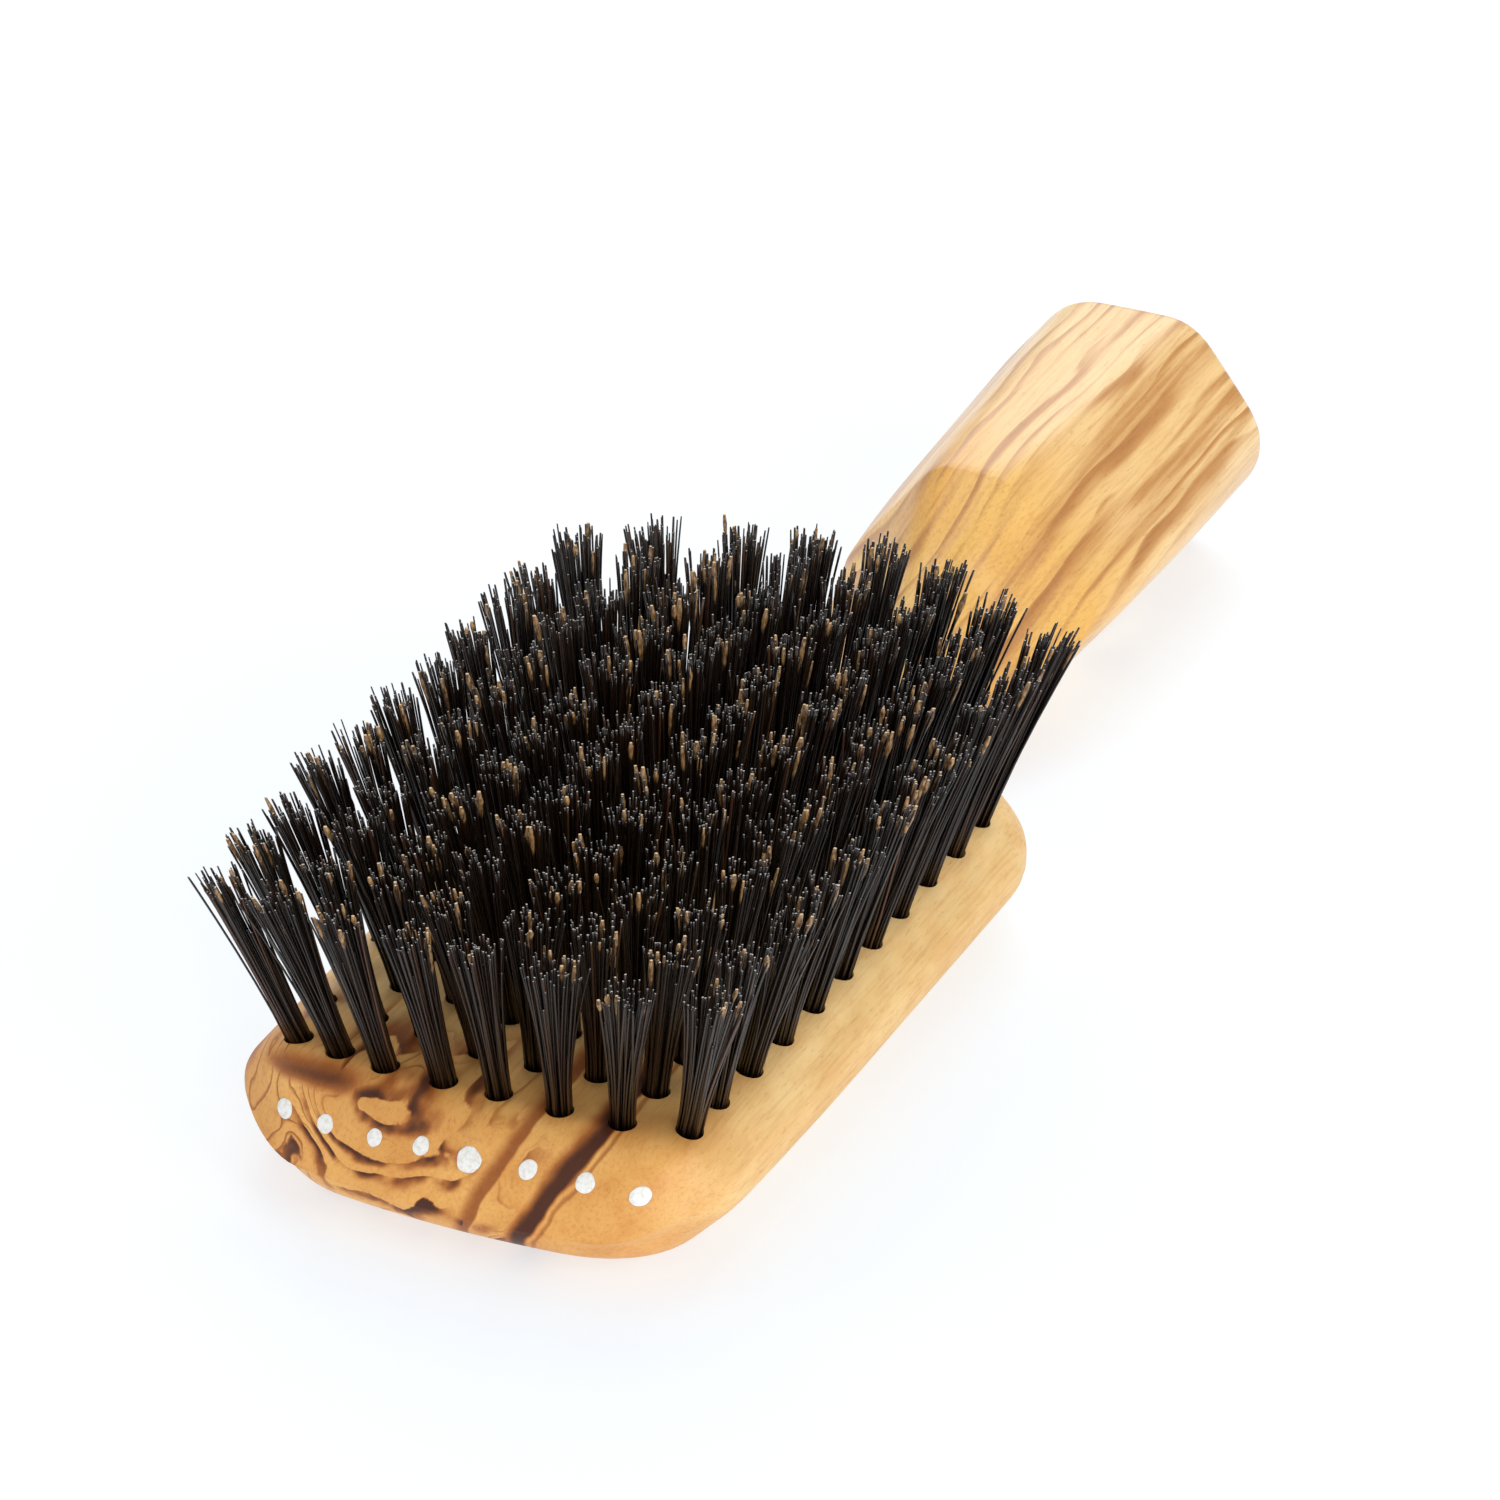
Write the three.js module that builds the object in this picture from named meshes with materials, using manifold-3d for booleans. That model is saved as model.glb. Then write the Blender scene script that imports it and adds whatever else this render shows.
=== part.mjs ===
// Beard brush: an olive-wood body with a faceted handle, and eight columns of bristle tufts that a
// wire in a channel under each column holds in the wood. A white plug stops each channel's mouth.
// Units are mm. The brush lies on its back on z = 0 with the bristles up (+Z), the handle towards +Y,
// and the origin under the middle of its bounding box.

import * as THREE from "three";
import { mergeVertices } from "three/addons/utils/BufferGeometryUtils.js";
import Module from "manifold-3d";

const wasm = await Module();
wasm.setup();

// ---- Driving dimensions ----

const LENGTH = 183.9; // front of the head to the end of the handle
const HEAD_HALF_WIDTH = 28.5;
const FRONT_HALF_WIDTH = 27.6;
const HEAD_THICKNESS = 15; // back of the head to the face that carries the tufts
const HANDLE_TOP = 28.9; // height of the flat facet on top of the handle
const FACET_START = 133; // where that facet begins, measured from the front of the head
const FRONT_CORNER_RADIUS = 12;
const NOSE_LENGTH = 9; // how far back the rounding of the front end reaches
const UNDERCUT_LENGTH = 16; // the same for the longer curve below
const NOSE_LEVEL = 6.3; // height of the foremost line of the head
const NOSE_BOW = 2.8; // how far the front end is bowed at the outer columns
const BOW_REACH = 26; // the bow fades out this far from the front
const HANDLE_END_ROUNDING = 2.8;
const HANDLE_END_BULGE = 1.9; // how far the middle of the end stands out past its sides
const HANDLE_END_TILT = 0.7; // the same past its top and bottom

const COLUMN_COUNT = 8;
const COLUMN_PITCH = 6.65;
const FRONT_PITCH = 6.3; // the columns stand a little closer together at the front
const FULL_PITCH_AT = 42; // and reach their full pitch this far back
const TUFTS_IN_COLUMN = [11, 12, 12, 13, 13, 12, 12, 11];
const FIRST_TUFT = 9.9; // first tuft of the middle columns, from the front of the head
const LAST_TUFT = 92.2; // last tuft of the middle columns
const FIRST_ROW_BOW = 1.5;
const LAST_ROW_BOW = 10;
const FAN_CENTRE = 45.8; // the tuft here stands upright, the others lean away from it
const LEAN_ACROSS = 0.65; // degrees for each mm off the middle line
const LEAN_ALONG = 0.44; // degrees for each mm from FAN_CENTRE

const HOLE_RADIUS = 1.6;
const HOLE_DEPTH = 6.4;
const TUFT_RADIUS = 1.3;
const TUFT_ROOT_DEPTH = 6;
const BRISTLE_LENGTH = 20.8; // above the face
const FREE_SPLAY = 2.6; // how far an outer tuft's tip spreads where it has no neighbour
const ROW_GAP = 0.3; // between the splayed tips of neighbouring columns
const TIP_OVERLAP = 0.35; // how far neighbouring tufts of a column run into each other at the tips

const CHANNEL_DEPTH = 4.5; // of the channel's axis, below the face
const CHANNEL_RADIUS = 1.3;
const CHANNEL_MOUTH_PITCH = 5.75; // the channels close up a little towards the front
const CHANNEL_REAR_PITCH = 6.4;
const CHANNEL_REAR = 90;
const PLUG_RADIUS = 1.05;
const PLUG_END = 8; // inner end of the plug, from the front of the head
const WIRE_RADIUS = 0.22;
const LOOP_RADIUS = 0.55; // of the eye that the wire passes through in each tuft's fold

const WOOD = { color: 0xd9a866, roughness: 0.42, metalness: 0 };
const BRISTLE = { color: 0x241c18, roughness: 0.55, metalness: 0 };
const PLUG = { color: 0xf2f1ec, roughness: 0.5, metalness: 0 };
const WIRE = { color: 0xc9c6c0, roughness: 0.3, metalness: 1 };

// ---- The body's section, as curves along the brush ----

// Each row: distance from the front, half-width, underside height.
const PLAN = [
  [0, FRONT_HALF_WIDTH, 0],
  [40, HEAD_HALF_WIDTH, 0],
  [81, HEAD_HALF_WIDTH, 0],
  [85, 27.8, 0],
  [89, 26, 0],
  [92.5, 23, 0],
  [96, 18.9, 0.3],
  [99, 15.3, 0.8],
  [104, 11.2, 1.8],
  [109, 9.7, 2.6],
  [114, 10.1, 2.8],
  [120, 12.4, 2.3],
  [127, 14.9, 1.2],
  [135, 16.2, 0.3],
  [145, 17, 0],
  [160, 17.4, 0],
  [184, 17.5, 0],
];

// Height of the upper surface where it climbs from the head's face to the handle's facet.
const RAMP = [
  [0, 15],
  [97, 15],
  [104, 15.6],
  [111, 17.4],
  [119, 21],
  [127, 25.3],
  [133, 28.7],
  [145, 35.5],
];

// Corner cuts of the section: distance from the front, then how far the upper corner is cut inwards
// and downwards, the same for the lower corner, and how much of each cut edge the upper ridge, the
// sides and the lower ridge round away.
const CORNERS = [
  [0, 4.1, 4.1, 7, 7.2, 0.7, 0.7, 0.7],
  [92, 4.1, 4.1, 7, 7.2, 0.7, 0.7, 0.7],
  [102, 5.6, 5.2, 6.6, 6.6, 0.8, 0.8, 0.8],
  [112, 9, 10.5, 7, 7, 0.75, 0.9, 0.8],
  [124, 11.4, 14.5, 7.2, 8.8, 0.75, 0.9, 0.6],
  [133, 11.4, 14.6, 8.6, 11, 0.85, 0.9, 0.5],
  [150, 11, 13.9, 9.2, 11.8, 0.88, 0.85, 0.5],
  [184, 9.3, 11.5, 9.2, 11.8, 0.9, 0.85, 0.5],
];

const SIDE_LIMIT = 0.97; // the most of the section's height that the cuts take from its sides
const CORNER_STEPS = 2;
const EDGE_LIMIT = 4.2; // longest piece of an edge that a rounding takes

// Smooth curve through the rows of a table that never overshoots them.
function curve(rows, column, at) {
  const n = rows.length;
  if (at <= rows[0][0]) return rows[0][column];
  if (at >= rows[n - 1][0]) return rows[n - 1][column];
  const slope = (i) => (rows[i + 1][column] - rows[i][column]) / (rows[i + 1][0] - rows[i][0]);
  const tangent = (i) => {
    if (i === 0 || i === n - 1) return slope(Math.min(i, n - 2));
    const before = slope(i - 1);
    const after = slope(i);
    return before * after <= 0 ? 0 : (2 * before * after) / (before + after);
  };
  let i = 0;
  while (rows[i + 1][0] < at) i += 1;
  const span = rows[i + 1][0] - rows[i][0];
  const t = (at - rows[i][0]) / span;
  const t2 = t * t;
  const t3 = t2 * t;
  return (
    (2 * t3 - 3 * t2 + 1) * rows[i][column] +
    (t3 - 2 * t2 + t) * span * tangent(i) +
    (3 * t2 - 2 * t3) * rows[i + 1][column] +
    (t3 - t2) * span * tangent(i + 1)
  );
}

// Half-width, top and underside at a distance from the front, with both ends rounded.
function envelope(along) {
  let halfWidth = curve(PLAN, 1, along);
  let bottom = curve(PLAN, 2, along);
  let top = Math.min(HANDLE_TOP, curve(RAMP, 1, along));
  if (along < FRONT_CORNER_RADIUS) {
    const left = FRONT_CORNER_RADIUS - along;
    halfWidth -= FRONT_CORNER_RADIUS - Math.sqrt(FRONT_CORNER_RADIUS ** 2 - left ** 2);
  }
  if (along < NOSE_LENGTH) {
    const left = 1 - along / NOSE_LENGTH;
    const over = Math.max(0.12, 1 - left ** 2);
    top = NOSE_LEVEL + (HEAD_THICKNESS - NOSE_LEVEL) * over;
  }
  if (along < UNDERCUT_LENGTH) {
    const left = 1 - along / UNDERCUT_LENGTH;
    bottom = NOSE_LEVEL * Math.min(0.88, 1 - Math.sqrt(1 - left ** 2));
  }
  const left = along - (LENGTH - HANDLE_END_ROUNDING);
  if (left > 0) {
    const inset = HANDLE_END_ROUNDING - Math.sqrt(HANDLE_END_ROUNDING ** 2 - left ** 2 * 0.98);
    halfWidth -= inset;
    top -= inset;
    bottom += inset * 1.4;
  }
  return { halfWidth, top, bottom };
}

// Points of the right half of the section, from the middle of the top to the middle of the underside.
function halfSection(along) {
  const { halfWidth, top, bottom } = envelope(along);
  const height = top - bottom;
  const cut = (column, limit) => Math.min(curve(CORNERS, column, along), limit);
  const cuts = curve(CORNERS, 2, along) + curve(CORNERS, 4, along);
  const fit = Math.min(1, (height * SIDE_LIMIT) / cuts);
  const upperDrop = curve(CORNERS, 2, along) * fit;
  const lowerRise = curve(CORNERS, 4, along) * fit;
  const corners = [
    [0, top],
    [halfWidth - cut(1, halfWidth * 0.85), top],
    [halfWidth, top - upperDrop],
    [halfWidth, bottom + lowerRise],
    [halfWidth - cut(3, halfWidth * 0.85), bottom],
    [0, bottom],
  ];
  const rounding = [0, cut(5, 1), cut(6, 1), cut(6, 1), cut(7, 1), 0];
  const points = [corners[0]];
  for (let i = 1; i <= 4; i += 1) {
    const here = new THREE.Vector2(...corners[i]);
    const towards = (other) => {
      const edge = new THREE.Vector2(...other).sub(here);
      const share = Math.min(0.5, EDGE_LIMIT / edge.length()) * rounding[i];
      return here.clone().addScaledVector(edge, share);
    };
    const before = towards(corners[i - 1]);
    const after = towards(corners[i + 1]);
    for (let step = 0; step <= CORNER_STEPS; step += 1) {
      const t = step / CORNER_STEPS;
      const first = before.clone().lerp(here, t);
      const second = here.clone().lerp(after, t);
      points.push(first.lerp(second, t).toArray());
    }
  }
  points.push(corners[5]);
  return points;
}

// How far a point of a section is moved along the brush, by the bow of the front end and by the dome
// of the handle's end.
function bow(along, across, height) {
  const front = Math.max(0, 1 - along / BOW_REACH);
  const outer = COLUMN_PITCH * (COLUMN_COUNT - 1) * 0.5;
  const rear = Math.max(0, 1 - (LENGTH - along) / BOW_REACH);
  const { halfWidth, top, bottom } = envelope(LENGTH / 1.1);
  const rise = (2 * height - top - bottom) / (top - bottom);
  const noseBow = NOSE_BOW * (across / outer) ** 2 * front ** 2;
  const bulge = HANDLE_END_BULGE * (across / halfWidth) ** 2 + HANDLE_END_TILT * rise ** 2;
  return noseBow - bulge * rear ** 3;
}

const toY = (along) => along - LENGTH / 2;

// ---- Solids ----

function solid(geometry) {
  const bare = geometry.clone();
  bare.deleteAttribute("normal");
  bare.deleteAttribute("uv");
  const merged = mergeVertices(bare, 1e-4);
  return new wasm.Manifold(
    new wasm.Mesh({
      numProp: 3,
      vertProperties: merged.attributes.position.array,
      triVerts: new Uint32Array(merged.index.array),
    }),
  );
}

function meshOf(name, body, look) {
  const data = body.getMesh();
  const geometry = new THREE.BufferGeometry();
  geometry.setAttribute("position", new THREE.BufferAttribute(data.vertProperties, 3));
  geometry.setIndex(new THREE.BufferAttribute(data.triVerts, 1));
  geometry.computeVertexNormals();
  const mesh = new THREE.Mesh(geometry, new THREE.MeshStandardMaterial(look));
  mesh.name = name;
  return mesh;
}

// Stations along the brush, closer together where the outline turns quickly.
function stations() {
  const list = [0, 0.6, 1.6, 3, 4.8, 6.8, 9, 12, 16, 26, 40, 81, 84, 87];
  for (let along = 89.5; along < 102; along += 2.5) list.push(along);
  for (let along = 103; along < FACET_START; along += 6) list.push(along);
  list.push(FACET_START, 140, 150, 165);
  for (const inwards of [2.2, 1.2, 0.5, 0]) list.push(LENGTH - inwards);
  return list;
}

// The wooden body before any drilling: a cylinder's grid laid over the sections.
function bodyShape() {
  const along = stations();
  const half = halfSection(0).length;
  const around = 2 * half - 2;
  const cylinder = new THREE.CylinderGeometry(1, 1, 1, around, along.length - 1);
  const rings = along.map((value) => {
    const right = halfSection(value);
    const left = right.slice(1, -1).reverse();
    return [...right, ...left.map(([x, z]) => [-x, z])];
  });
  const position = cylinder.attributes.position;
  const place = new THREE.Vector3();
  for (let i = 0; i < position.count; i += 1) {
    place.fromBufferAttribute(position, i);
    const ring = Math.round((0.5 - place.y) * (along.length - 1));
    const radius = Math.hypot(place.x, place.z);
    if (radius < 0.5) {
      const { top, bottom } = envelope(along[ring]);
      position.setXYZ(i, 0, toY(along[ring]), (top + bottom) / 2);
      continue;
    }
    const turn = Math.atan2(place.x, place.z) / (2 * Math.PI);
    const spot = Math.round((1 - turn) * around) % around;
    const [x, z] = rings[ring][spot];
    position.setXYZ(i, x, toY(along[ring] + bow(along[ring], x, z)), z);
  }
  return solid(cylinder);
}

// A loft of oval rings along z, closed at both ends. A ring gives its height and its reach to each side.
function ovalLoft(rings, sides) {
  const profile = [new THREE.Vector2(0, 0)];
  rings.forEach((ring, i) => profile.push(new THREE.Vector2(1, i)));
  profile.push(new THREE.Vector2(0, rings.length - 1));
  const lathe = new THREE.LatheGeometry(profile, sides);
  const position = lathe.attributes.position;
  for (let i = 0; i < position.count; i += 1) {
    const ring = rings[Math.round(position.getY(i))];
    const x = position.getX(i);
    const y = -position.getZ(i);
    const reachX = x < 0 ? ring.left : ring.right;
    const reachY = y < 0 ? ring.front : ring.rear;
    position.setXYZ(i, x * reachX, y * reachY, ring.height);
  }
  return solid(lathe);
}

const round = (height, radius) => ({
  height,
  left: radius,
  right: radius,
  front: radius,
  rear: radius,
});

// Distance between neighbouring columns, at a distance from the front.
function pitchAt(along) {
  const share = THREE.MathUtils.clamp((along - FIRST_TUFT) / (FULL_PITCH_AT - FIRST_TUFT), 0, 1);
  return FRONT_PITCH + (COLUMN_PITCH - FRONT_PITCH) * share * (2 - share);
}

// Where a tuft stands on the face, how it leans above it, and how its hole runs down to the channel.
function tuftsOf(column) {
  const offset = column - (COLUMN_COUNT - 1) / 2;
  const share = (offset / ((COLUMN_COUNT - 1) / 2)) ** 2;
  const first = FIRST_TUFT + FIRST_ROW_BOW * share;
  const last = LAST_TUFT - LAST_ROW_BOW * share;
  const count = TUFTS_IN_COLUMN[column];
  const tufts = [];
  for (let i = 0; i < count; i += 1) {
    const along = first + ((last - first) * i) / (count - 1);
    const across = offset * pitchAt(along);
    tufts.push({
      x: across,
      y: toY(along),
      pitch: pitchAt(along),
      slopeX: Math.tan(THREE.MathUtils.degToRad(LEAN_ACROSS * across)),
      slopeY: Math.tan(THREE.MathUtils.degToRad(LEAN_ALONG * (along - FAN_CENTRE))),
      holeSlopeX: (across - channelPoint(column, along).x) / CHANNEL_DEPTH,
    });
  }
  return tufts;
}

// Shears an upright shape so that its axis leans, and stands it at a tuft's place on the face.
function leaning(body, tuft, slopeAbove) {
  return body.warp((point) => {
    const slopeX = point[2] > 0 ? slopeAbove : tuft.holeSlopeX;
    point[0] += tuft.x + point[2] * slopeX;
    point[1] += tuft.y + point[2] * tuft.slopeY;
    point[2] += HEAD_THICKNESS;
  });
}

// A round rod between two points.
function rod(from, to, radius, sides) {
  const axis = new THREE.Vector3().subVectors(to, from);
  const geometry = new THREE.CylinderGeometry(radius, radius, axis.length(), sides);
  geometry.translate(0, axis.length() / 2, 0);
  const turn = new THREE.Quaternion().setFromUnitVectors(
    new THREE.Vector3(0, 1, 0),
    axis.normalize(),
  );
  geometry.applyQuaternion(turn);
  geometry.translate(from.x, from.y, from.z);
  return solid(geometry);
}

// A point on a column's channel axis, at a distance from the front of the head.
function channelPoint(column, along) {
  const offset = column - (COLUMN_COUNT - 1) / 2;
  const share = along / CHANNEL_REAR;
  const pitch = THREE.MathUtils.lerp(CHANNEL_MOUTH_PITCH, CHANNEL_REAR_PITCH, share);
  return new THREE.Vector3(offset * pitch, toY(along), HEAD_THICKNESS - CHANNEL_DEPTH);
}

// ---- Assembly ----

const HOLE_SIDES = 6;
const TUFT_SIDES = 6;
const CHANNEL_SIDES = 6;
const group = new THREE.Group();
group.name = "beard_brush";

const blank = bodyShape();
let wood = blank;

for (let column = 0; column < COLUMN_COUNT; column += 1) {
  const number = column + 1;
  const tufts = tuftsOf(column);
  const rearTuft = tufts[tufts.length - 1].y + LENGTH / 2;

  // The channel runs from beyond the front end to just behind the last tuft.
  const mouth = channelPoint(column, -6);
  const channel = rod(mouth, channelPoint(column, rearTuft + 2.4), CHANNEL_RADIUS, CHANNEL_SIDES);
  let cutter = channel;
  for (const tuft of tufts) {
    const hole = ovalLoft([round(-HOLE_DEPTH, HOLE_RADIUS), round(3, HOLE_RADIUS)], HOLE_SIDES);
    cutter = cutter.add(leaning(hole, tuft, tuft.holeSlopeX));
  }
  wood = wood.subtract(cutter);

  // The plug ends flush with the curved front of the head.
  const stopper = rod(mouth, channelPoint(column, PLUG_END), PLUG_RADIUS, 12);
  group.add(meshOf(`channel_plug_${number}`, stopper.intersect(blank), PLUG));

  // The wire runs through the eye in each tuft's fold.
  const wireStart = channelPoint(column, PLUG_END + 0.4);
  const wireEnd = channelPoint(column, rearTuft + 2);
  group.add(meshOf(`draw_wire_${number}`, rod(wireStart, wireEnd, WIRE_RADIUS, 6), WIRE));

  // Each tuft is a straight bundle that opens towards its trimmed tip, where it meets its neighbours.
  const acrossGrowth = 1 + BRISTLE_LENGTH * THREE.MathUtils.degToRad(LEAN_ACROSS);
  const spacing = tufts[1].y - tufts[0].y;
  const alongStep = THREE.MathUtils.degToRad(LEAN_ALONG * spacing);
  let row = null;
  tufts.forEach((tuft, i) => {
    const sideways = (tuft.pitch * acrossGrowth - ROW_GAP) / 2;
    const leanGrowth = 1 + tuft.slopeY ** 2;
    const endways = (spacing + BRISTLE_LENGTH * alongStep * leanGrowth) / 2 + TIP_OVERLAP;
    const tip = {
      height: BRISTLE_LENGTH,
      left: column === 0 ? FREE_SPLAY : sideways,
      right: column === COLUMN_COUNT - 1 ? FREE_SPLAY : sideways,
      front: i === 0 ? FREE_SPLAY : endways,
      rear: i === tufts.length - 1 ? FREE_SPLAY : endways,
    };
    const root = round(-TUFT_ROOT_DEPTH, TUFT_RADIUS);
    const mouthOfHole = round(0, TUFT_RADIUS);
    const bundle = ovalLoft([root, mouthOfHole, tip], TUFT_SIDES);
    const placed = leaning(bundle, tuft, tuft.slopeX);
    row = row ? row.add(placed) : placed;
  });
  const eye = rod(channelPoint(column, 0), channelPoint(column, rearTuft + 6), LOOP_RADIUS, 4);
  group.add(meshOf(`bristle_row_${number}`, row.subtract(eye), BRISTLE));
}

group.add(meshOf("wood_body", wood, WOOD));

export default group;
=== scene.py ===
"""Beard brush: the looks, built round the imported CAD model.

The olive-wood body is lofted again from the CAD model's design curves, finely enough to shade
smoothly, and drilled for every tuft and channel. Each column of tufts is made of single hairs.
Lengths in the design section are mm, as on a workshop drawing; everything handed to Blender is in
metres, in the CAD model's frame.
"""

import math

import bmesh
import bpy
import numpy as np
from mathutils import Matrix, Vector
from mathutils.bvhtree import BVHTree
from mathutils.interpolate import poly_3d_calc


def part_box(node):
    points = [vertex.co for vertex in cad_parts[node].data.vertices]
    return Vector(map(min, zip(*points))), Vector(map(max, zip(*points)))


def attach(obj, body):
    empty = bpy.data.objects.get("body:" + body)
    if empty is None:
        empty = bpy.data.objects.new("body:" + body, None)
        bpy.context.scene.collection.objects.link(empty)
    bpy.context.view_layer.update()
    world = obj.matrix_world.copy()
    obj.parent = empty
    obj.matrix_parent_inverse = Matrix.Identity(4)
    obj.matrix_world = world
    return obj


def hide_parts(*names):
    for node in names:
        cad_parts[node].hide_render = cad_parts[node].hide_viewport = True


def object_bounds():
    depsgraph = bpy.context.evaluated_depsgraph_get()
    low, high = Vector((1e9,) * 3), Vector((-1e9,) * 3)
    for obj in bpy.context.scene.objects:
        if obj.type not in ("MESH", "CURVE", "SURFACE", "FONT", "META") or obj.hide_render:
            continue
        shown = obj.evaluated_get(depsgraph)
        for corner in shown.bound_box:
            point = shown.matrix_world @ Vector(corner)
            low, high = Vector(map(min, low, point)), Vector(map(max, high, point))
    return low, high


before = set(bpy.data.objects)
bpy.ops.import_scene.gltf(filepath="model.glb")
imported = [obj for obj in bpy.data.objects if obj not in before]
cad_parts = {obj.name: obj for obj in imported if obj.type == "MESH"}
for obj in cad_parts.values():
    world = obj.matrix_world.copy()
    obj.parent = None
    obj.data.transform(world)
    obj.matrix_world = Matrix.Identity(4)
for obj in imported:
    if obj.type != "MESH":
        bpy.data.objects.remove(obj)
cad_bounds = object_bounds()

MM = 0.001
wood_low, wood_high = (Vector(corner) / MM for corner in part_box("wood_body"))

# ---- Design, in mm ----

LENGTH = wood_high.y - wood_low.y
FACE_HEIGHT = 15.0
HANDLE_TOP = wood_high.z
HEAD_HALF_WIDTH = wood_high.x
FRONT_HALF_WIDTH = HEAD_HALF_WIDTH - 0.9
FACET_START = 133.0
FRONT_CORNER_RADIUS = 12.0
NOSE_LENGTH = 9.0
UNDERCUT_LENGTH = 16.0
NOSE_LEVEL = 6.3
NOSE_FULLNESS = 0.93  # 0.5 would be a quarter of an ellipse and 1 a parabola
NOSE_BOW = 2.8
BOW_REACH = 26.0
SHOULDER_START = 80.0
FULL_HANDLE = LENGTH / 1.1  # where the handle has its full section
HANDLE_END_ROUNDING = 2.8
HANDLE_END_ARC = 0.98  # just under 1, so that the rounding meets the end face in a soft edge
HANDLE_END_LIFT = 1.4  # how much more the underside rounds up than the top rounds down
HANDLE_END_BULGE = 1.9
HANDLE_END_TILT = 0.7

COLUMNS = 8
COLUMN_PITCH = 6.65
FRONT_PITCH = 6.3
FULL_PITCH_AT = 42.0
TUFTS_IN_COLUMN = (11, 12, 12, 13, 13, 12, 12, 11)
FIRST_TUFT = 9.9
LAST_TUFT = 92.2
FIRST_ROW_BOW = 1.5
LAST_ROW_BOW = 10.0
FAN_CENTRE = 45.8
LEAN_ACROSS = 0.65
LEAN_ALONG = 0.44
BRISTLE_LENGTH = 20.8

# Drilling by hand leaves the front row uneven: how far each of its tufts is off, across and along,
# and how much further it leans that way, in degrees.
FRONT_DRIFT = (
    (0.75, -0.2, 0, 0),
    (-0.35, -0.2, 0, 0),
    (-1.2, -0.2, 0, 0),
    (-0.8, 0, 0, 0),
    (-1, 0.3, 0, 0),
    (-0.4, 0, 0, 0),
    (0.05, 0, 0.5, -3.5),
    (0.3, 1.1, 3, -3),
)
DRIFT_SPREAD = (0.12, 0.12, 0.9, 0.9)  # random spread of the same four for all other tufts
TUFT_SEED = 100

CHANNEL_DEPTH = 4.5
CHANNEL_MOUTH_PITCH = 5.75
CHANNEL_REAR_PITCH = 6.4
CHANNEL_REAR = 90.0
PLUG_END = 8.0

HOLE_RADIUS = 1.47
PLUG_RADII = (1.04, 0.96, 0.88, 0.92, 1.3, 0.98, 1.02, 1.06)
PLUG_UNEVENNESS = (0.05, 0.05, 0.05, 0.05, 0.11, 0.05, 0.05, 0.05)  # of the rims, shares of radius
PLUG_SEED = 40
PLUG_HEIGHT = 0.84  # share of a plug's width
PLUG_GAP = 0.03

# How far each plug is off its channel's line, to the right and upwards.
PLUG_SHIFTS = (
    (0.8, 0.2),
    (0.2, 0.3),
    (0.3, 0.5),
    (-0.2, 0.9),
    (-0.5, 0.8),
    (0.1, 1.1),
    (0.5, 0.95),
    (0.35, 0.4),
)

# Distance from the front, half-width, underside height.
PLAN = (
    (0, FRONT_HALF_WIDTH, 0),
    (40, HEAD_HALF_WIDTH, 0),
    (81, HEAD_HALF_WIDTH, 0),
    (85, 27.8, 0),
    (89, 26, 0),
    (92.5, 23, 0),
    (96, 18.9, 0.3),
    (99, 15.3, 0.8),
    (104, 11.2, 1.8),
    (109, 9.7, 2.6),
    (114, 10.1, 2.8),
    (120, 12.4, 2.3),
    (127, 14.9, 1.2),
    (135, 16.2, 0.3),
    (145, 17, 0),
    (160, 17.4, 0),
    (184, 17.5, 0),
)

# Height of the upper surface where it climbs from the head's face to the handle's facet.
RAMP = (
    (0, 15),
    (97, 15),
    (104, 15.6),
    (111, 17.4),
    (119, 21),
    (127, 25.3),
    (133, 28.7),
    (145, 35.5),
)

# Corner cuts of the section: distance from the front, then how far the upper corner is cut inwards
# and downwards, the same for the lower corner, and how much of each cut edge the upper ridge, the
# sides and the lower ridge round away.
CORNERS = (
    (0, 4.1, 4.1, 7, 7.2, 0.7, 0.7, 0.7),
    (92, 4.1, 4.1, 7, 7.2, 0.7, 0.7, 0.7),
    (102, 5.6, 5.2, 6.6, 6.6, 0.8, 0.8, 0.8),
    (112, 9, 10.5, 7, 7, 0.75, 0.9, 0.8),
    (124, 11.4, 14.5, 7.2, 8.8, 0.75, 0.9, 0.6),
    (133, 11.4, 14.6, 8.6, 11, 0.85, 0.9, 0.5),
    (150, 11, 13.9, 9.2, 11.8, 0.88, 0.85, 0.5),
    (184, 9.3, 11.5, 9.2, 11.8, 0.9, 0.85, 0.5),
)
CUT_LIMIT = 0.85  # most of the half-width that a corner cut takes
SIDE_LIMIT = 0.97  # most of the height that both corner cuts take
EDGE_LIMIT = 4.2  # most of an edge, in mm, that rounding takes at each end
CORNER_STEPS = 7
EDGE_STEPS = 9


def curve(rows, column, at):
    """A smooth curve through a table's rows that never overshoots them."""
    if at <= rows[0][0]:
        return rows[0][column]
    if at >= rows[-1][0]:
        return rows[-1][column]

    def slope(i):
        return (rows[i + 1][column] - rows[i][column]) / (rows[i + 1][0] - rows[i][0])

    def tangent(i):
        if i == 0 or i == len(rows) - 1:
            return slope(min(i, len(rows) - 2))
        before, after = slope(i - 1), slope(i)
        return 0.0 if before * after <= 0 else 2 * before * after / (before + after)

    i = 0
    while rows[i + 1][0] < at:
        i += 1
    span = rows[i + 1][0] - rows[i][0]
    t = (at - rows[i][0]) / span
    return (
        (2 * t**3 - 3 * t**2 + 1) * rows[i][column]
        + (t**3 - 2 * t**2 + t) * span * tangent(i)
        + (3 * t**2 - 2 * t**3) * rows[i + 1][column]
        + (t**3 - t**2) * span * tangent(i + 1)
    )


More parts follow.
